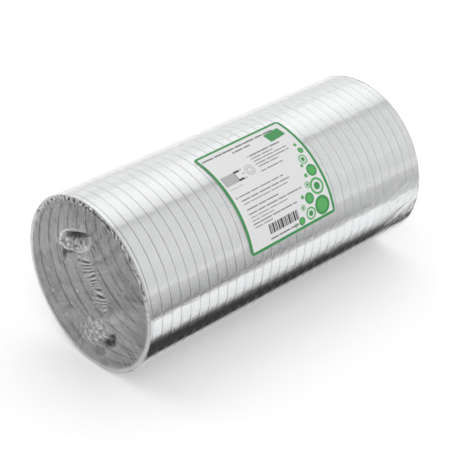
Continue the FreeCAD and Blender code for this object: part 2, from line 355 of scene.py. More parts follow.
# Marks in the gathered film: (Y, Z), slant in degrees, half length, half width, rise in mm and tone,
# from -1 (painted shade: the film painted dark and nearly opaque over slots, hollows, vents and
# creases) to 1 (thickly gathered film, painted pale, partly as painted highlight)
MARKS = (
    # the upper ear's body, its slot with painted shade and the folds in it, painted pale or dark
    (0.174, 0.428, 158, 0.27, 0.075, 2.6, 0.42),
    (0.148, 0.54, 158.5, 0.2, 0.034, -2.4, -0.95),
    (0.243, 0.5, 157, 0.13, 0.012, -0.8, -0.8),
    (-0.014, 0.606, 165, 0.07, 0.018, -1.0, -0.9),
    (0.356, 0.385, 170, 0.045, 0.02, -1.0, -0.6),
    (0.432, 0.345, 100, 0.055, 0.018, 0.9, 1.0),
    (0.376, 0.292, 160, 0.06, 0.015, 0.7, 0.9),
    (0.29, 0.44, 158, 0.07, 0.014, 0.7, 0.9),
    (0.203, 0.483, 160, 0.04, 0.018, -0.8, -0.6),
    (0.052, 0.507, 80, 0.04, 0.013, -0.8, -0.6),
    (0.145, 0.425, 155, 0.06, 0.012, -0.9, -0.8),
    (-0.03, 0.478, 125, 0.055, 0.032, 0.9, 0.9),
    (-0.124, 0.498, 62, 0.06, 0.014, -0.9, -0.8),
    # painted shadow in the hollow under it
    (0.397, 0.215, 95, 0.095, 0.048, -1.2, -0.95),
    (0.29, 0.275, 155, 0.14, 0.026, -1.0, -0.9),
    (0.225, 0.235, 155, 0.11, 0.07, -0.5, -0.4),
    (0.512, 0.116, 95, 0.06, 0.024, -0.4, -0.45),
    (0.11, 0.655, 165, 0.045, 0.009, -0.4, -0.5),
    (0.19, 0.625, 165, 0.06, 0.008, -0.3, -0.35),
    # the lower ear's crumpled film, painted pale, its vent with painted shade and the film drawn
    # towards it
    (-0.1, -0.53, 150, 0.28, 0.15, 1.2, 0.62),
    (-0.18, -0.51, 148, 0.12, 0.07, 0.4, 0.85),
    (-0.46, -0.16, 150, 0.11, 0.05, 0.3, 0.2),
    (-0.38, -0.26, 150, 0.14, 0.04, 0.4, 0.24),
    (-0.25, -0.33, 150, 0.12, 0.05, 0.4, 0.32),
    (-0.355, -0.49, 125, 0.075, 0.04, -2.0, -0.95),
    (-0.292, -0.595, 150, 0.14, 0.052, -2.2, -1.0),
    (-0.11, -0.79, 150, 0.16, 0.07, -0.9, -0.62),
    (-0.11, -0.475, 150, 0.07, 0.03, 0.9, 1.0),
    (-0.215, -0.525, 152, 0.07, 0.026, 0.9, 1.0),
    (0.01, -0.56, 105, 0.05, 0.013, 0.6, 0.8),
    (0.093, -0.53, 160, 0.022, 0.016, -0.6, -0.8),
    (0.009, -0.498, 165, 0.022, 0.015, -0.5, -0.6),
    (0.159, -0.672, 17, 0.085, 0.01, -0.4, -0.5),
    (0.127, -0.724, 11, 0.085, 0.01, -0.4, -0.45),
    (0.266, -0.9, 160, 0.045, 0.013, -0.4, -0.5),
    (0.23, -0.52, 160, 0.14, 0.09, -0.2, -0.25),
    (0.52, -0.61, 30, 0.17, 0.09, -0.2, -0.3),
    # small marks in the taut film
    (-0.564, -0.23, 150, 0.035, 0.01, -0.4, -0.6),
    (-0.405, 0.39, 120, 0.03, 0.013, -0.4, -0.4),
    (-0.36, 0.738, 115, 0.035, 0.014, -0.4, -0.4),
    (-0.695, 0.34, 120, 0.03, 0.012, -0.3, -0.4),
    (-0.52, 0.56, 120, 0.035, 0.012, -0.3, -0.4),
    (-0.58, 0.18, 105, 0.04, 0.012, -0.3, -0.3),
    (0.203, -0.174, 0, 0.014, 0.012, 0.3, 0.8),
    (0.42, -0.58, 0, 0.014, 0.012, 0.3, 0.9),
    (0.637, -0.376, 0, 0.014, 0.012, 0.3, 0.7),
    (0.318, -0.39, 0, 0.014, 0.012, 0.3, 0.6),
    # painted shade in creases on the rim
    (0.608, 0.735, 130, 0.035, 0.018, -0.3, -0.9),
    (0.8, 0.54, 120, 0.025, 0.018, -0.3, -0.8),
    (0.145, 0.945, 175, 0.05, 0.015, -0.3, -0.9),
    (-0.101, 0.955, 5, 0.05, 0.018, -0.3, -1.0),
    (-0.203, 0.935, 30, 0.05, 0.016, -0.3, -1.0),
    (-0.395, 0.875, 25, 0.045, 0.018, -0.3, -1.0),
    (-0.728, 0.633, 45, 0.04, 0.016, -0.3, -1.0),
    (-0.9, 0.335, 70, 0.035, 0.018, -0.3, -0.8),
)


def near_route(y, z, route):
    """Each point's distance from a route, which is the nearest of those to its straight runs, with
    its side as the sign; how far along the route that is; and the route's length."""
    route = np.array(route, float)
    runs = np.diff(route, axis=0)
    long = np.linalg.norm(runs, axis=1)
    before = np.concatenate([[0], np.cumsum(long)[:-1]])
    from_start = np.stack([y, z], axis=-1)[..., None, :] - route[:-1]
    share = np.clip((from_start * runs).sum(-1) / long**2, 0, 1)
    away = from_start - share[..., None] * runs
    gap = np.linalg.norm(away, axis=-1)
    side = np.sign(runs[:, 0] * away[..., 1] - runs[:, 1] * away[..., 0])
    pick = gap.argmin(-1)[..., None]
    nearest = np.take_along_axis(gap * side, pick, -1)[..., 0]
    along = np.take_along_axis(before + share * long, pick, -1)[..., 0]
    return nearest, along, long.sum()


def turned(y, z, slant, centre=(0, 0)):
    """Place along and across a line through a centre at a slant."""
    from_y, from_z = y - centre[0], z - centre[1]
    along = from_y * math.cos(slant) + from_z * math.sin(slant)
    return along, from_z * math.cos(slant) - from_y * math.sin(slant)


def oval(y, z, centre, degrees, long, wide):
    """A flat-topped oval: e to the power of minus the fourth power of the distance, counted in half
    lengths along its slant and half widths across it."""
    along, across = turned(y, z, math.radians(degrees), centre)
    return np.exp(-(((along / long) ** 2 + (across / wide) ** 2) ** 2))


def pillow(gap, half_width):
    """A round-topped ridge: 1 on its line, falling as a circle does to 0 at half_width."""
    return np.sqrt(np.clip(1 - (gap / half_width) ** 2, 0, None))


def pulled(y, z):
    """Coordinates that fan out from the line between the ears, as the taut film's pull does: the
    elliptic coordinates whose two foci are the ears. Returns the sine and cosine of a hyperbola's
    angle, and the distance along it."""
    middle = [(a + b) / 2 for a, b in zip(UPPER_EAR, LOWER_EAR)]
    from_y, from_z = UPPER_EAR[0] - middle[0], UPPER_EAR[1] - middle[1]
    place = ((y - middle[0]) + 1j * (z - middle[1])) / (from_y + 1j * from_z)
    found = np.arccosh(place + 1e-9j)
    return np.sin(found.imag), np.cos(found.imag), found.real


def crumple(y, z, fine):
    """Sharp folds that cross: each is one less twice the absolute value of a bent sine, so that it
    has a crease at its top."""
    total = 0
    y, z = y + 0.016 * np.sin(31 * z + 1), z + 0.013 * np.sin(43 * y)
    for slant, scale, bend in ((0.4, 1.0, 2.1), (1.5, 1.31, 3.3), (2.5, 0.83, 1.2), (3.3, 1.7, 4.0)):
        across, along = turned(y, z, slant)
        wave = np.sin(fine * scale * across + bend * np.sin(0.45 * fine * along + slant))
        total = total + (1 - 2 * np.abs(wave)) / scale
    return total / 3.2


def taut_skin(y, z, reach):
    """The taut film's height in mm: it dishes by the square of its reach, and faint lines fan out
    over it."""
    sine, cosine, far = pulled(y, z)
    taut = rising(far, 0, 0.5) * rising(1 - reach, 0, 0.1)
    fan = np.sin(31 * np.arctan2(sine, cosine) + 2 * far) * np.sin(17 * cosine + 5 * sine)
    return 0.55 - 0.7 * np.clip(1 - reach**2, 0, 1) + 0.06 * fan * taut


def weld_gathers(y, z):
    """The weld: a low ridge crossed by slanting gathers, which are bent sines with a crease beside
    each. Returns its height in mm, how thickly it is gathered, with the gathers' crests painted pale as
    highlight, and the painted shade in the creases, stronger on one side of the weld."""
    gap, along, total = near_route(y, z, WELD)
    half = WELD_HALF + 0.02 * np.sin(2.6 * math.pi * along / total)
    ends = rising(along, 0, 0.05) * rising(total - along, 0, 0.10)
    inside = rising(half - np.abs(gap), 0, 0.05) * ends
    level, across = turned(y, z, GATHER_SLANT)
    bent = 0.35 * np.sin(9 * level + 14 * across) + 0.3 * np.sin(31 * across)
    pleat = np.sin(TAU * (across / PLEAT + bent))
    uneven = 0.68 + 0.32 * np.sin(27 * level + 15 * across + 2 * np.sin(19 * across))
    shown = inside * uneven
    gather_and_highlight = shown * (0.12 + 0.62 * np.clip(pleat, 0, 1))
    painted_shade = shown * (2.1 + 0.9 * gap / half) * np.clip(-pleat - 0.05, 0, 1)
    return 0.5 * pillow(gap, half * 1.1) + 0.75 * shown * pleat, gather_and_highlight, painted_shade


def lay_marks(y, z, high, gather_and_highlight, painted_shade):
    """Each mark lifts the film by its rise, and by its tone paints it pale, as gathered film and
    painted highlight, or dark, as painted shade.
    """
    for spot_y, spot_z, slant, long, wide, rise, tone in MARKS:
        here = oval(y, z, (spot_y, spot_z), slant, long, wide)
        high = high + rise * here
        if tone > 0:
            gather_and_highlight, painted_shade = np.maximum(gather_and_highlight, tone * here), painted_shade * (1 - 0.6 * tone * here)
        else:
            painted_shade, gather_and_highlight = np.maximum(painted_shade, -tone * here), gather_and_highlight * (1 + tone * here)
    return high, gather_and_highlight, painted_shade


def crumple_ears(y, z, high, gather_and_highlight, painted_shade):
    """Crumples the film of both ears, with painted highlight on the crumples' crests and painted shade
    in their troughs, and rolls the upper one's lip, painted pale: a bell curve of the distance from an
    oval, stronger towards +Y."""
    for centre, slant, long, wide, rise, fine in EARS:
        folds = crumple(y, z, fine) * oval(y, z, centre, slant, long, wide)
        high = high + rise * folds
        gather_and_highlight = np.clip(gather_and_highlight + 1.2 * folds, 0, 1)
        painted_shade = painted_shade + 0.6 * np.clip(-folds - 0.15, 0, 1)
    along, across = turned(y, z, LIP_SLANT, LIP)
    lip = bell(np.hypot(along / LIP_LONG, across / LIP_WIDE) - 1, 0.10)
    lip = lip * (0.65 + 0.35 * np.clip(-along / 0.2, -1, 1))
    return high + 0.9 * lip, np.maximum(gather_and_highlight, lip), painted_shade * (1 - 0.9 * lip)


def turn_over_rim(y, z, reach, high, gather_and_highlight, painted_shade):
    """The film bunches in a pale ring, crinkles at the top, with painted highlight on the crinkles'
    crests and painted shade in their troughs, and turns over the rim as a quarter circle, with creases
    across it."""
    turn = np.arctan2(z, y)
    gather_and_highlight = np.maximum(gather_and_highlight, 0.62 * bell(reach - 0.963, 0.022))
    crinkled = bell(reach - 0.955, 0.035) * (0.5 + 0.5 * np.sin(turn - 0.15)) ** 2.5
    folds = crumple(y, z, 50) * crinkled
    high = high + 0.5 * folds
    gather_and_highlight = gather_and_highlight + 0.9 * np.clip(folds, 0, 1)
    painted_shade = painted_shade + 4.0 * np.clip(-folds - 0.12, 0, 1)
    edge = rising(reach, 0.94, 0.06)
    creases = np.sin(47 * turn + 4 * np.sin(3 * turn))
    creases = creases + 0.7 * np.sin(83 * turn + 2 * np.sin(7 * turn))
    creased = rising(reach, 0.90, 0.07) * (1 - edge) * (0.6 + 0.4 * np.sin(turn + 0.3))
    return (high + 0.16 * creased * creases) * np.sqrt(1 - edge**2), gather_and_highlight, painted_shade


def film_end_heights(y, z):
    """How far the gathered film stands out of the end plane, in mm, how thickly it is gathered, with
    its painted highlights, and its painted shade. y and z are shares of the radius."""
    reach = np.hypot(y, z)
    rise, gather_and_highlight, painted_shade = weld_gathers(y, z)
    film = lay_marks(y, z, taut_skin(y, z, reach) + rise, gather_and_highlight, painted_shade)
    film = crumple_ears(y, z, *film)
    high, gather_and_highlight, painted_shade = turn_over_rim(y, z, reach, *film)
    return high, np.clip(gather_and_highlight, 0, 1), np.clip(painted_shade, 0, 1)


def disc_grid(count):
    """A square grid bent into a disc: each coordinate is shrunk by the square root of one less half
    the square of the other."""
    side = np.linspace(-1, 1, count)
    a, b = np.meshgrid(side, side, indexing="ij")
    return a * np.sqrt(1 - b**2 / 2), b * np.sqrt(1 - a**2 / 2)


# The film ends' side and grid points across the disc, and their wall in mm
FILM_ENDS = (("near", 1, 220), ("far", -1, 150))
END_WALL = 0.12


def film_end_piece(name, side, count, sizes, material):
    """The film over one end: an outer and an inner skin on the disc grid, joined along the rim. The
    far end is the near one turned half round about Z."""
    y, z = disc_grid(count)
    high, gather_and_highlight, painted_shade = film_end_heights(y, z)
    radius = sizes.film_radius
    points = []
    for depth in (0.0, END_WALL):
        x = -HALF_LENGTH - (high - depth) * MM
        level = np.maximum(AXIS_Z + radius * z, depth * MM)
        points.append(np.stack([side * x, side * radius * y, level], axis=-1).reshape(-1, 3))
    below = count * count
    index = np.arange(below).reshape(count, count)
    quads = grid_quads(index)
    rim = np.concatenate([index[:-1, 0], index[-1, :-1], index[:0:-1, -1], index[0, :0:-1]])
    following = np.roll(rim, -1)
    wall = np.stack([rim, rim + below, following + below, following], axis=-1)
    # seen from -X, Y grows to the left, so this order faces outwards on both ends
    quads = np.concatenate([quads[:, ::-1], quads + below, wall[:, ::-1]])
    uv = np.tile(np.stack([y, z], axis=-1).reshape(-1, 2), (2, 1))[quads]
    points = np.concatenate(points)
    piece, used = mesh_piece(name, points, quads, uv, material, len(quads) - len(wall))
    clear = rising(np.hypot(y, z), 0.945, 0.01)
    for title, values in (("gather_and_highlight", gather_and_highlight), ("painted_shade", painted_shade), ("rim", clear)):
        add_layer(piece.data, title, "FLOAT", "POINT", np.tile(values.ravel(), 2)[used])
    sine, cosine, far = pulled(y, z)
    pull = np.stack([np.abs(sine), cosine, far * sine], axis=-1).reshape(-1, 3)
    add_layer(piece.data, "pull", "FLOAT_VECTOR", "POINT", np.tile(pull, (2, 1))[used])
    return piece


def box_gap(s, t, left, top, right, bottom, corner=0.0):
    """Signed distance to a rectangle with rounded corners, negative inside."""
    ds = np.abs(s - (left + right) / 2) - (right - left) / 2 + corner
    dt = np.abs(t - (top + bottom) / 2) - (bottom - top) / 2 + corner
    outside = np.hypot(np.maximum(ds, 0), np.maximum(dt, 0))
    return outside + np.minimum(np.maximum(ds, dt), 0) - corner


def ink(colours, value, gap, soft=0.18):
    """Lays an ink over the colours where the distance is below nought, with a soft edge."""
    cover = np.clip(0.5 - gap / (2 * soft), 0, 1)[..., None]
    return colours * (1 - cover) + np.array(value)[None, None, :] * cover


# Lines of print that carry no letters, in mm from the label's top left corner: left, middle, right
# end and thickness.
PRINT_LINES = (
    (4.2, 7.3, 86.6, 1.7), (35, 11.7, 55.5, 1.5), (42.8, 21.9, 81, 1.3), (44.2, 25.2, 69.6, 0.9),
    (44.2, 28.3, 83.8, 0.9), (44.2, 31.4, 83.8, 0.9), (44.2, 34.3, 69.6, 0.9),
    (44.2, 38.9, 69.6, 0.9), (4.6, 42.0, 20, 0.35), (5.7, 50.0, 61.2, 0.9), (9.9, 54.0, 65.4, 1.0),
    (10.3, 57.3, 61.2, 0.7), (9.9, 62.4, 46.3, 1.0), (9.9, 66.4, 71.8, 1.0),
    (10.3, 69.6, 53.4, 0.7), (10.3, 72.6, 35.7, 0.7), (10.3, 75.6, 61.2, 1.0),
    (10.3, 78.5, 31.5, 0.8), (23.5, 93.8, 59, 1.3),
)
# Plain bars that code nothing, each one's width.
BARS = (1.3, 0.7, 1.7, 0.7, 1.0, 1.5, 0.7, 1.9, 0.8, 1.1, 0.7, 1.6, 0.9, 0.7, 1.8, 1.0, 0.7)
# Discs and rings in two greens: centre, radius and whether it is a ring.
DISCS = (
    (87.0, 88.5, 8.4, 0), (72.5, 90.5, 5.6, 1), (88.0, 71.5, 7.4, 1), (60.8, 93.0, 3.6, 0),
    (75.5, 78.0, 5.0, 0), (90.4, 57.5, 5.4, 0), (65.6, 83.0, 2.6, 1), (79.0, 67.0, 3.0, 1),
    (88.6, 46.0, 4.4, 1), (53.5, 94.0, 2.0, 1), (82.0, 59.6, 1.8, 0), (92.5, 38.0, 2.8, 0),
    (68.6, 74.5, 1.7, 0), (83.6, 50.6, 1.5, 0), (91.6, 31.4, 1.6, 0),
)
# The plain panel at the top right: its middle, half sizes and how far it leans
PANEL_MIDDLE, PANEL_HALF, PANEL_LEAN = (83.6, 13.3), (9.3, 5.0), 0.07
# The plain figure of a tube: its fold lines' left, step, top and bottom, its end piece, the tops of
# the dashes beside it and the rings of its end view
FOLD_LINES = (4.8, 1.12, 28.8, 38.4)
END_PIECE = ((19.4, 28.5, 25.8, 30.3), (19.4, 36.5, 25.8, 38.3), (19.4, 28.5, 20.2, 38.3))
DASH_TOPS = (28.5, 33.0, 37.4)
RING_MIDDLE, RING_RADII, RING_HALF = (35.4, 33.2), (4.6, 2.5), 0.22
# The bars' left, top and bottom, how much wider than listed they are, and the gaps between them
BARS_PLACE, BARS_WIDER, BAR_GAPS = (24.5, 81.4, 89.8), 1.17, (0.5, 0.8, 0.6)
# The label in mm: its corners' radius, green edge, thickness, height over the film, place along the
# duct and radius of bend; and the points along its grid's side
LABEL_CORNER, LABEL_EDGE, LABEL_THICK, LABEL_OVER = 3.2, 2.6, 0.16, 0.26
LABEL_X, LABEL_BEND, LABEL_GRID = -1.7, 78.6, 250


def label_shapes(s, t, wide, tall, colours):
    """The label's print in the order it is laid: each shape's ink and its signed distance."""
    for middle_s, middle_t, r, ring in DISCS:
        gap = np.hypot(s - middle_s, t - middle_t) - r
        if ring:
            yield colours.leaf, gap
            yield colours.paper, gap + 0.28 * r
            yield colours.green, gap + 0.55 * r
        else:
            yield colours.green, gap
            yield colours.leaf, gap + 0.30 * r
    for left, middle, right, thick in PRINT_LINES:
        # gaps between the words, at steps that differ
        word = np.sin(s * 1.31 + middle) + 0.6 * np.sin(s * 0.53 + 2 * middle)
        gap = box_gap(s, t, left, middle - thick / 2, right, middle + thick / 2)
        yield colours.grey_ink, np.maximum(gap, (-word - 1.15) * 0.6)
    from_s, from_t = s - PANEL_MIDDLE[0], t - PANEL_MIDDLE[1]
    leaning = (from_s - PANEL_LEAN * from_t, from_t + PANEL_LEAN * from_s)
    yield colours.green, box_gap(*leaning, *(-half for half in PANEL_HALF), *PANEL_HALF, 0.8)
    left, step, top, bottom = FOLD_LINES
    for place in left + step * np.arange(13):
        yield colours.grey_ink, box_gap(s, t, place, top, place + 0.6, bottom)
    for box in END_PIECE:
        yield colours.black_ink, box_gap(s, t, *box)
    for top in DASH_TOPS:
        yield colours.grey_ink, box_gap(s, t, 26.9, top, 28.4, top + 1.0)
    from_middle = np.hypot(s - RING_MIDDLE[0], t - RING_MIDDLE[1])
    for radius in RING_RADII:
        yield colours.grey_ink, np.abs(from_middle - radius) - RING_HALF
    left, top, bottom = BARS_PLACE
    for k, bar in enumerate(BARS):
        right = left + BARS_WIDER * bar
        yield colours.black_ink, box_gap(s, t, left, top, right, bottom), 0.12
        left = right + BARS_WIDER * BAR_GAPS[k % 3]
    yield colours.green, -box_gap(s, t, 0, 0, wide, tall, LABEL_CORNER) - LABEL_EDGE


def label_piece(name, sizes, colours, material):
    """The paper label: a grid bent round the duct on the film, with rounded corners and an
    underside. A point's place on the paper is turned askew, and its distance down the paper over
    the radius is its angle."""
    wide, tall = sizes.label_length / MM, sizes.label_height / MM
    down = np.linspace(0, tall, LABEL_GRID)
    near_edge = np.clip(LABEL_CORNER - np.minimum(down, tall - down), 0, LABEL_CORNER)
    inset = LABEL_CORNER - np.sqrt(LABEL_CORNER**2 - near_edge**2)
    share = np.linspace(0, 1, LABEL_GRID)
    s = inset[:, None] + share[None, :] * (wide - 2 * inset[:, None])
    t = np.broadcast_to(down[:, None], s.shape)
    along, arc = turned(s, t, sizes.label_turn, (wide / 2, tall / 2))
    x = LABEL_X + along
    ripple = 0.035 * np.sin(TAU * x / 10 - arc / 12) + 0.03 * np.sin(arc / 5.0 + x / 17)
    face = sizes.film_radius / MM + LABEL_OVER + ripple
    angle = sizes.label_angle - arc / LABEL_BEND
    top = on_round(x * MM, face * MM, angle)
    under = on_round(x * MM, (face - LABEL_THICK) * MM, angle)[:, [0, -1]]
    points = np.concatenate([top.reshape(-1, 3), under.reshape(-1, 3)])
    count = LABEL_GRID * LABEL_GRID
    index = np.arange(count).reshape(LABEL_GRID, LABEL_GRID)
    low = count + np.arange(LABEL_GRID * 2).reshape(LABEL_GRID, 2)
    backs = grid_quads(low)[:, ::-1]
    left = grid_quads(np.stack([low[:, 0], index[:, 0]], axis=-1))
    right = grid_quads(np.stack([index[:, -1], low[:, 1]], axis=-1))
    faces = np.concatenate([grid_quads(index), backs, left, right]).tolist()
    faces.append(index[0].tolist() + [int(low[0, 1]), int(low[0, 0])])
    faces.append(index[-1][::-1].tolist() + [int(low[-1, 0]), int(low[-1, 1])])
    mesh = bpy.data.meshes.new(name)
    mesh.from_pydata(points.tolist(), [], faces)
    shades = np.ones((len(points), 4))
    shades[:, :3] = tuple(colours.paper)
    printed = shades[:count, :3].reshape(*s.shape, 3)
    for shape in label_shapes(s, t, wide, tall, colours):
        printed = ink(printed, *shape)
    shades[:count, :3] = printed.reshape(-1, 3)
    add_layer(mesh, "print", "FLOAT_COLOR", "POINT", shades)
    mesh.polygons.foreach_set("use_smooth", np.full(len(mesh.polygons), True))
    mesh.materials.append(material)
    mesh.update()
    return in_scene(name, mesh)


class Nodes:
    """The nodes of a material, a world or a shared group, with short ways to add and feed them."""

    def __init__(self, tree):
        self.nodes, self.links = tree.nodes, tree.links

    def give(self, socket, value):
        """Feeds an input from another node's socket, or with a constant."""
        if isinstance(value, bpy.types.NodeSocket):
            self.links.new(value, socket)
        else:
            socket.default_value = value

    def feed(self, node, **inputs):
        """Feeds a node's inputs by their names; an underscore stands for a space."""
        for title, value in inputs.items():
            self.give(node.inputs[title.replace("_", " ")], value)
        return node

    def add(self, kind, settings=(), **inputs):
        """The outputs of a new node with its settings, (name, value), and its inputs."""
        node = self.nodes.new(kind)
        for name, value in settings:
            setattr(node, name, value)
        return self.feed(node, **inputs).outputs

    def math(self, operation, *values, clamp=False):
        """The result of a Math node."""
        node = self.nodes.new("ShaderNodeMath")
        node.operation = operation
        node.use_clamp = clamp
        for socket, value in zip(node.inputs, values):
            self.give(socket, value)
        return node.outputs[0]

    def spread(self, value, start, end, low=0.0, high=1.0, shape="SMOOTHSTEP"):
        """A value carried from the range start to end over to the range low to high."""
        ends = {"From_Min": start, "From_Max": end, "To_Min": low, "To_Max": high}
        settings = [("interpolation_type", shape)]
        return self.add("ShaderNodeMapRange", settings, Value=value, **ends)["Result"]

    def mix(self, factor, first, second, blend="MIX"):
        """A colour mix; each colour is a socket or three numbers."""
        settings = [("data_type", "RGBA"), ("blend_type", blend)]
        first, second = [(*c, 1) if isinstance(c, tuple) else c for c in (first, second)]
        return self.add("ShaderNodeMix", settings, Factor=factor, A=first, B=second)["Result"]

    def drawn_out(self, place, slant, scale):
        """Places turned by a slant and stretched, which draws noise out into streaks."""
        inputs = {"Vector": place, "Rotation": slant, "Scale": scale}
        return self.add("ShaderNodeMapping", [("vector_type", "TEXTURE")], **inputs)["Vector"]

    def place(self):
        """Object coordinates."""
        return self.add("ShaderNodeTexCoord")["Object"]

    def carried(self, name):
        """The outputs of a layer that the mesh carries."""
        return self.add("ShaderNodeAttribute", [("attribute_name", name)])

    def shared(self, group, place, **inputs):
        """The outputs of a shared group, with its place and its own values."""
        return self.add("ShaderNodeGroup", [("node_tree", group)], Place=place, **inputs)


def new_group(name, inputs, outputs):
    """A shader node group whose sockets are vectors (name, None) or numbers (name, default), its
    nodes, what it is given and the node that takes what it makes."""
    group = bpy.data.node_groups.new(name, "ShaderNodeTree")
    for way, sockets in (("INPUT", inputs), ("OUTPUT", outputs)):
        for title, default in sockets:
            kind = "NodeSocketVector" if default is None else "NodeSocketFloat"
            socket = group.interface.new_socket(title, in_out=way, socket_type=kind)
            socket.hide_value = default is None
            if default is not None:
                socket.default_value = default
    tree = Nodes(group)
    return group, tree, tree.add("NodeGroupInput"), tree.nodes.new("NodeGroupOutput")


def cloudy_group():
    """Noise as a value between two ends, such as a roughness that varies in soft clouds."""
    name = "cloudy_value"
    if name in bpy.data.node_groups:
        return bpy.data.node_groups[name]
    inputs = (("Place", None), ("Scale", 40.0), ("Detail", 4.0), ("Low", 0.1), ("High", 0.2))
    group, tree, given, made = new_group(name, inputs, (("Value", 0.0), ("Noise", 0.0)))
    settings = {title: given[title] for title in ("Scale", "Detail")}
    noise = tree.add("ShaderNodeTexNoise", Vector=given["Place"], **settings)["Fac"]
    value = tree.spread(noise, 0.3, 0.7, given["Low"], given["High"], "LINEAR")
    tree.feed(made, Value=value, Noise=noise)
    return group


def relief_group():
    """Fine relief from noise, laid over the normal that comes in."""
    name = "fine_relief"
    if name in bpy.data.node_groups:
        return bpy.data.node_groups[name]
    place, noise = ("Place", None), (("Scale", 400.0), ("Detail", 3.0), ("Distortion", 0.0))
    bump = (("Strength", 0.2), ("Depth", 0.0004), ("Normal", None))
    group, tree, given, made = new_group(name, (place, *noise, *bump), (("Normal", None),))
    settings = {title: given[title] for title, _ in noise}
    height = tree.add("ShaderNodeTexNoise", Vector=given["Place"], **settings)["Fac"]
    settings = {title: given[title] for title in ("Strength", "Normal")}
    bump = tree.add("ShaderNodeBump", Height=height, Distance=given["Depth"], **settings)
    tree.feed(made, Normal=bump["Normal"])
    return group


def clouds(tree, place, scale, detail, low, high):
    """The outputs of the cloudy group, from low to high."""
    return tree.shared(cloudy_group(), place, Scale=scale, Detail=detail, Low=low, High=high)


def relief(tree, place, scale, detail, strength, depth, **more):
    """The normal of the relief group."""
    more.update(Scale=scale, Detail=detail, Strength=strength, Depth=depth)
    return tree.shared(relief_group(), place, **more)["Normal"]


def new_material(name):
    """A material with only its Principled shader and output, its nodes and that shader."""
    material = bpy.data.materials.new(name)
    material.use_nodes = True
    tree = Nodes(material.node_tree)
    return material, tree, tree.nodes["Principled BSDF"]


def foil_material(colours):
    """Aluminium: rolled grain, and painted shade as a darker line in each locked seam's groove, fainter
    towards the far end.
    The bore is duller, darker near the open near end, and its painted seam lines are wider and darker."""
    material, tree, shader = new_material("aluminium_foil")
    place, inside = tree.place(), tree.carried("inside")["Fac"]
    x = tree.add("ShaderNodeSeparateXYZ", Vector=place)[0]
    cloud = clouds(tree, place, 34.0, 5.0, 0.035, 0.075)
    # the seams lie where the map's first part, in turns, is a whole number
    uv = tree.add("ShaderNodeUVMap", [("uv_map", "UVMap")])["UV"]
    turns = tree.add("ShaderNodeSeparateXYZ", Vector=uv)[0]
    share = tree.math("FRACT", tree.math("ADD", turns, 0.5))
    off = tree.math("ABSOLUTE", tree.math("SUBTRACT", share, 0.5))
    off = tree.math("MULTIPLY", off, tree.math("MULTIPLY_ADD", inside, -0.34, 1.0))
    # painted shade in the seams' grooves: a darker line, wider and darker in the bore, fainter towards
    # the far end
    seam = tree.spread(off, 0.0, 0.07, 1.0, 0.0)
    fading = tree.spread(x, -0.04, 0.08, 1.0, 0.35, "LINEAR")
    dark = tree.math("MULTIPLY_ADD", inside, 0.50, tree.math("MULTIPLY", cloud["Noise"], fading))
    dark = tree.math("MULTIPLY", seam, dark, clamp=True)
    # painted shade in the bore: darker than the foil, and darker still near the open near end as a
    # painted dark reflection
    mouth = tree.spread(x, -0.155, -0.125)
    bore = tree.mix(mouth, (0.50, 0.505, 0.51), (0.68, 0.685, 0.69))
    foil = tree.mix(inside, tuple(colours.foil), bore)
    seam_shade = tree.mix(inside, (0.30, 0.30, 0.31), (0.03, 0.03, 0.03))
    grain = relief(tree, place, 380.0, 3.0, 0.08, 0.0004)
    tree.feed(shader, Base_Color=tree.mix(dark, foil, seam_shade), Metallic=1.0)
    tree.feed(shader, Roughness=cloud["Value"], Normal=grain)
    return material


def sleeve_material():
    """Clear film: a mirror of a few percent straight on that rises steeply as the film turns away,
    with slanting wrinkles low down near the far end. The rings between two stretches don't show."""
    material, tree, shader = new_material("clear_film")
    place = tree.place()
    # the wrinkles' patch starts beyond the label: direction, where it starts and where it is whole
    split = tree.add("ShaderNodeSeparateXYZ", Vector=place)
    patch = 1.0
    for direction, low, high in ((0, 0.080, 0.135), (1, -0.066, -0.074), (2, 0.098, 0.080)):
        patch = tree.math("MULTIPLY", patch, tree.spread(split[direction], low, high))
    slanted = tree.drawn_out(place, (0, math.radians(-25), 0), (0.045, 0.045, 0.0055))
    wrinkles = relief(tree, slanted, 1.0, 2.0, tree.math("MULTIPLY", patch, 0.55), 0.004)
    facing = tree.add("ShaderNodeLayerWeight", Blend=0.5)["Facing"]
    hazy = tree.math("MULTIPLY_ADD", patch, 0.07, 0.05)
    cover = tree.math("ADD", tree.math("POWER", facing, 3.4), hazy)
    shown = tree.math("SUBTRACT", 1.0, tree.carried("cut")["Fac"])
    fine = relief(tree, place, 70.0, 4.0, 0.25, 0.0008, Normal=wrinkles)
    tree.feed(shader, Base_Color=(0.93, 0.94, 0.95, 1), Metallic=1.0, Normal=fine)
    tree.feed(shader, Roughness=clouds(tree, place, 60.0, 4.0, 0.04, 0.10)["Value"])
    tree.feed(shader, Alpha=tree.math("MULTIPLY", cover, shown, clamp=True))
    return material


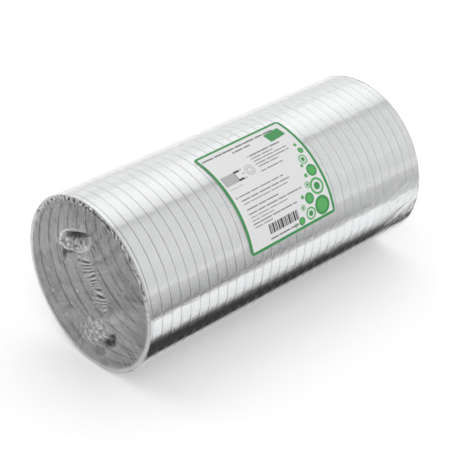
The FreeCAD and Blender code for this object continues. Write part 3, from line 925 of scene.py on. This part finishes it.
def film_end_material(colours):
    """Gathered film: hazier than the sleeve, paler and crisper where it is gathered or carries painted
    highlight, and painted dark and nearly opaque where it carries painted shade, with fine streaks
    along its pull and draw lines at one slant."""
    material, tree, shader = new_material("gathered_film")
    place = tree.place()
    gather_and_highlight, painted_shade = tree.carried("gather_and_highlight")["Fac"], tree.carried("painted_shade")["Fac"]
    pull = tree.nodes.new("ShaderNodeVectorMath")
    pull.operation = "MULTIPLY"
    tree.give(pull.inputs[0], tree.carried("pull")["Vector"])
    tree.give(pull.inputs[1], (16.0, 16.0, 2.2))
    along = pull.outputs["Vector"]
    slanted = tree.drawn_out(place, (math.radians(42), 0, 0), (0.05, 0.05, 0.0020))
    streaks = clouds(tree, along, 1.0, 4.0, -0.05, 0.08)["Value"]
    drawn = clouds(tree, slanted, 1.0, 4.0, -0.06, 0.08)["Value"]
    rim = tree.math("MULTIPLY_ADD", tree.carried("rim")["Fac"], 0.06, 0.12)
    cover = tree.math("MULTIPLY_ADD", gather_and_highlight, 0.70, rim)
    for part in (drawn, streaks):
        cover = tree.math("ADD", cover, part)
    # pale where the film is gathered thickly, and painted highlight on the crests of its pleats,
    # crumples and lip
    pale = tree.mix(gather_and_highlight, (0.62, 0.625, 0.63), tuple(colours.film))
    # painted shade: the film goes near black and nearly opaque over its slots, hollows, vents and
    # creases
    tree.feed(shader, Base_Color=tree.mix(painted_shade, pale, (0.035, 0.035, 0.037)), Metallic=0.7)
    tree.feed(shader, Alpha=tree.math("ADD", cover, painted_shade, clamp=True))
    cloud = clouds(tree, place, 90.0, 5.0, 0.22, 0.34)["Value"]
    crisp = tree.math("MULTIPLY", gather_and_highlight, 0.14)
    lines = relief(tree, along, 1.0, 3.0, 0.5, 0.003)
    strength = tree.math("MULTIPLY_ADD", gather_and_highlight, 0.7, 0.10)
    crinkle = relief(tree, place, 150.0, 5.0, strength, 0.0022, Distortion=1.2, Normal=lines)
    tree.feed(shader, Roughness=tree.math("SUBTRACT", cloud, crisp), Normal=crinkle)
    return material


def label_material():
    """Coated paper with its print, which is carried as a colour on the mesh."""
    material, tree, shader = new_material("printed_paper")
    place = tree.place()
    tree.feed(shader, Base_Color=tree.carried("print")["Color"], Coat_Weight=0.15)
    tree.feed(shader, Roughness=clouds(tree, place, 900.0, 4.0, 0.38, 0.52)["Value"])
    tree.feed(shader, Coat_Roughness=0.2, Normal=relief(tree, place, 900.0, 4.0, 0.08, 0.0002))
    return material


def follow_duct(piece, number):
    """A stretch follows one ring body at the duct's ends; any other keeps its place, with its transform
    baked into its mesh.
    """
    if number in (1, len(STRETCHES)):
        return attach(piece, f"turns_{min(number, LAST_BODY):02d}")
    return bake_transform(piece)


class DUCT_OT_foil(bpy.types.Operator):
    """Makes the folded aluminium duct, one piece for each stretch"""

    bl_idname = "duct.foil"
    bl_label = "Folded duct"

    def execute(self, context):
        sizes = context.scene.duct_sizes
        material = foil_material(context.scene.duct_colours)
        outer = (fold_marks(OUTER_PLACES), outer_fold_radius(sizes))
        inner = (fold_marks(INNER_PLACES), inner_fold_radius(sizes))
        shape = (sizes.turn_pitch, outer, inner, DUCT_FLOOR)
        for number, (start, end) in enumerate(STRETCHES, 1):
            piece = closed_tube(f"folds_{number:02d}", start, end, *shape, material)
            sections = {max(number - 1, 1), min(number, LAST_BODY)}
            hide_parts(*[f"duct_turns_{section:02d}" for section in sorted(sections)])
            follow_duct(piece, number)
        return {"FINISHED"}


class DUCT_OT_film(bpy.types.Operator):
    """Makes the clear film round the duct, in the duct's own stretches"""

    bl_idname = "duct.film"
    bl_label = "Clear film"

    def execute(self, context):
        sizes = context.scene.duct_sizes
        material = sleeve_material()
        outer = (FILM_MARKS, film_radius_of(sizes, 0.0))
        inner = (FILM_MARKS, film_radius_of(sizes, FILM_WALL))
        shape = (sizes.turn_pitch, outer, inner, 0.0)
        for number, (start, end) in enumerate(STRETCHES, 1):
            piece = closed_tube(f"film_{number:02d}", start, end, *shape, material)
            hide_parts("film_sleeve")
            follow_duct(piece, number)
        return {"FINISHED"}


class DUCT_OT_film_ends(bpy.types.Operator):
    """Makes the gathered film over both open ends"""

    bl_idname = "duct.film_ends"
    bl_label = "Gathered film ends"

    def execute(self, context):
        material = film_end_material(context.scene.duct_colours)
        for word, side, count in FILM_ENDS:
            name = f"{word}_gathered_film"
            piece = film_end_piece(name, side, count, context.scene.duct_sizes, material)
            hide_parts(f"{word}_film_end")
            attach(piece, f"{word}_film_end")
        return {"FINISHED"}


class DUCT_OT_label(bpy.types.Operator):
    """Makes the paper label with its plain print"""

    bl_idname = "duct.label"
    bl_label = "Paper label"

    def execute(self, context):
        sizes, colours = context.scene.duct_sizes, context.scene.duct_colours
        piece = label_piece("printed_label", sizes, colours, label_material())
        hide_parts("paper_label")
        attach(piece, "turns_08")
        return {"FINISHED"}


# Brightness of the studio's soft boxes, by the angle over the duct from the -Y side, in degrees.
# The narrow dark stops are the gaps between two boxes.
STUDIO_BANDS = (
    (0, 0.84), (12, 0.90), (30, 0.98), (60, 0.95), (75, 0.93), (82.5, 0.84), (84.5, 0.26),
    (86.5, 0.94), (96, 1.12), (106, 1.24), (116, 1.26), (128, 1.14), (143.5, 1.08), (145, 0.38),
    (146.5, 0.92), (160, 0.98), (180, 0.72),
)
# How bright the studio is towards the duct's ends, by the direction's X
STUDIO_ENDS = (
    (-1.0, 0.30), (-0.75, 0.38), (-0.45, 0.85), (-0.2, 1.0), (0.5, 1.02), (0.61, 0.99),
    (0.72, 0.86), (0.82, 0.74), (1.0, 0.74),
)


def shade_ramp(tree, value, stops):
    """The shade that a colour ramp with these stops, (place, shade), gives for a value."""
    ramp = tree.nodes.new("ShaderNodeValToRGB")
    made = ramp.color_ramp.elements
    for number, (place, shade) in enumerate(stops):
        stop = made[number] if number < 2 else made.new(place)
        stop.position = place
        stop.color = (shade, shade, shade, 1)
    return tree.feed(ramp, Fac=value).outputs["Color"]


def studio_world():
    """The studio: soft boxes along the duct, as bands of brightness, darker towards its near end."""
    world = bpy.data.worlds.new("studio")
    world.use_nodes = True
    tree = Nodes(world.node_tree)
    direction = tree.add("ShaderNodeTexCoord")["Generated"]
    x, y, z = tree.add("ShaderNodeSeparateXYZ", Vector=direction)
    angle = tree.math("ARCTAN2", z, tree.math("MULTIPLY", y, -1.0))
    share = tree.math("DIVIDE", angle, math.pi, clamp=True)
    bands = shade_ramp(tree, share, [(degrees / 180, shade) for degrees, shade in STUDIO_BANDS])
    along = tree.math("MULTIPLY_ADD", x, 0.5, 0.5)
    ends = shade_ramp(tree, along, [((place + 1) / 2, shade) for place, shade in STUDIO_ENDS])
    tree.feed(tree.nodes["Background"], Color=tree.mix(1.0, bands, ends, "MULTIPLY"))
    return world


# Cards that lie on the floor beside the duct, out of the picture, for the metal to reflect: from
# x to x, outer edge at each of the two, inner edge, height and shade
CARDS = (
    # the near and soft cards are painted shadow: dark strips where the floor lies in the duct's shade,
    # seen only in reflections
    ("near_card", -0.8, 0.8, -0.1305, -0.0615, -0.061, 0.0006, 0.07),
    ("soft_card", -0.8, 0.8, -0.1415, -0.0700, -0.061, 0.0005, 0.36),
    ("edge_card", -3.0, 0.0, -0.240, -0.240, -0.199, 0.0008, 0.02),
    ("edge_tip_card", 0.0, 0.25, -0.240, -0.212, -0.199, 0.0008, 0.12),
    ("grey_card", -3.0, 0.2, -0.265, -0.265, -0.229, 0.0006, 0.40),
    ("pale_card", -3.0, 0.2, -0.360, -0.360, -0.264, 0.0005, 0.52),
    ("mid_card", -3.0, 3.0, -0.50, -0.50, -0.221, 0.0004, 0.62),
    ("far_card", -3.0, 3.0, -2.50, -2.50, -0.50, 0.0004, 0.68),
)
# Half the floor's side, and the brightness it adds for the camera and in reflections
FLOOR_HALF, FLOOR_SHINE = 30, 0.20
# The camera, fitted to the photograph: lens in mm, shift, the direction towards it, its distance and
# the point that it looks at
LENS, SHIFT = 114.46, (-0.0152, -0.0215)
TOWARDS_CAMERA = (-0.5889385, -0.62325552, 0.51449393)
CAMERA_DISTANCE, CAMERA_AIM = 1.2547, (0, 0, 0.078)
LAMP_PLACE, LAMP_AIM, LAMP_SIZE, LAMP_POWER = (-1.2, -1.5, 1.6), (0, 0, 0.08), 1.6, 8


def flat_sheet(name, corners, height):
    """A level sheet with a matt material. Returns its object, and the material's nodes and shader."""
    mesh = bpy.data.meshes.new(name)
    mesh.from_pydata([(x, y, height) for x, y in corners], [], [(0, 1, 2, 3)])
    material, tree, shader = new_material(name)
    tree.feed(shader, Specular_IOR_Level=0.0)
    mesh.materials.append(material)
    return in_scene(name, mesh), tree, shader


def reflection_card(name, start, end, outer, last_outer, inner, height, shade):
    """A card that only reflections see."""
    corners = ((start, outer), (end, last_outer), (end, inner), (start, inner))
    card, tree, shader = flat_sheet(name, corners, height)
    tree.feed(shader, Base_Color=(shade, shade, shade, 1), Roughness=1.0)
    card.visible_camera = card.visible_diffuse = card.visible_shadow = False
    card.visible_transmission = False


def pale_floor(colour):
    """The floor, brighter for the camera and in reflections, so that it comes out white."""
    half = FLOOR_HALF
    corners = ((-half, -half), (half, -half), (half, half), (-half, half))
    floor, tree, shader = flat_sheet("pale_floor", corners, 0)
    rays = tree.add("ShaderNodeLightPath")
    seen = tree.math("MAXIMUM", rays["Is Camera Ray"], rays["Is Transmission Ray"])
    seen = tree.math("MULTIPLY", seen, FLOOR_SHINE)
    shine = tree.math("MULTIPLY_ADD", rays["Is Glossy Ray"], FLOOR_SHINE, seen)
    white = (1, 1, 1, 1)
    tree.feed(shader, Base_Color=(*colour, 1), Roughness=0.9)
    tree.feed(shader, Emission_Color=white, Emission_Strength=shine)


def product_camera():
    """The camera that the photograph's outline was fitted with."""
    data = bpy.data.cameras.new("view")
    data.sensor_width = 36
    data.lens = LENS
    data.shift_x, data.shift_y = SHIFT
    data.clip_start, data.clip_end = 0.05, 100
    camera = in_scene("view", data)
    towards = Vector(TOWARDS_CAMERA)
    camera.location = Vector(CAMERA_AIM) + CAMERA_DISTANCE * towards
    camera.rotation_euler = (-towards).to_track_quat("-Z", "Y").to_euler()
    return camera


def front_lamp():
    """A soft square lamp in front of the duct, over the camera, that no reflection sees."""
    data = bpy.data.lights.new("front_lamp", "AREA")
    data.shape = "RECTANGLE"
    data.size = data.size_y = LAMP_SIZE
    data.energy = LAMP_POWER
    lamp = in_scene("front_lamp", data)
    lamp.location = LAMP_PLACE
    aim = Vector(LAMP_AIM) - Vector(LAMP_PLACE)
    lamp.rotation_euler = aim.to_track_quat("-Z", "Y").to_euler()
    lamp.visible_glossy = False


class DUCT_OT_stage(bpy.types.Operator):
    """Makes the camera, the lamp, the world, the pale floor and the cards on it"""

    bl_idname = "duct.stage"
    bl_label = "Stage"

    def execute(self, context):
        scene = context.scene
        scene.view_settings.view_transform = "Standard"
        scene.camera = product_camera()
        pale_floor(scene.duct_colours.floor)
        for card in CARDS:
            reflection_card(*card)
        scene.world = studio_world()
        front_lamp()
        return {"FINISHED"}


class DUCT_PT_panel(bpy.types.Panel):
    """Lists the duct's pieces and settings"""

    bl_idname = "DUCT_PT_panel"
    bl_label = "Flexible air duct"
    bl_space_type = "VIEW_3D"
    bl_region_type = "UI"
    bl_category = "Duct"

    def draw(self, context):
        for name in OPERATORS:
            self.layout.operator(name)
        for group in (context.scene.duct_sizes, context.scene.duct_colours):
            column = self.layout.column()
            for setting in type(group).__annotations__:
                column.prop(group, setting)


OPERATORS = ("duct.stage", "duct.foil", "duct.film", "duct.film_ends", "duct.label")
CLASSES = (
    DuctSizes,
    DuctColours,
    DUCT_OT_stage,
    DUCT_OT_foil,
    DUCT_OT_film,
    DUCT_OT_film_ends,
    DUCT_OT_label,
    DUCT_PT_panel,
)


def register():
    """Registers the classes and the two groups of settings."""
    for made in CLASSES:
        bpy.utils.register_class(made)
    bpy.types.Scene.duct_sizes = bpy.props.PointerProperty(type=DuctSizes)
    bpy.types.Scene.duct_colours = bpy.props.PointerProperty(type=DuctColours)


def unregister():
    """Takes the settings and the classes out again."""
    del bpy.types.Scene.duct_colours
    del bpy.types.Scene.duct_sizes
    for made in reversed(CLASSES):
        bpy.utils.unregister_class(made)


def main():
    register()
    for name in OPERATORS:
        group, operator = name.split(".")
        getattr(getattr(bpy.ops, group), operator)()


if __name__ == "__main__":
    main()
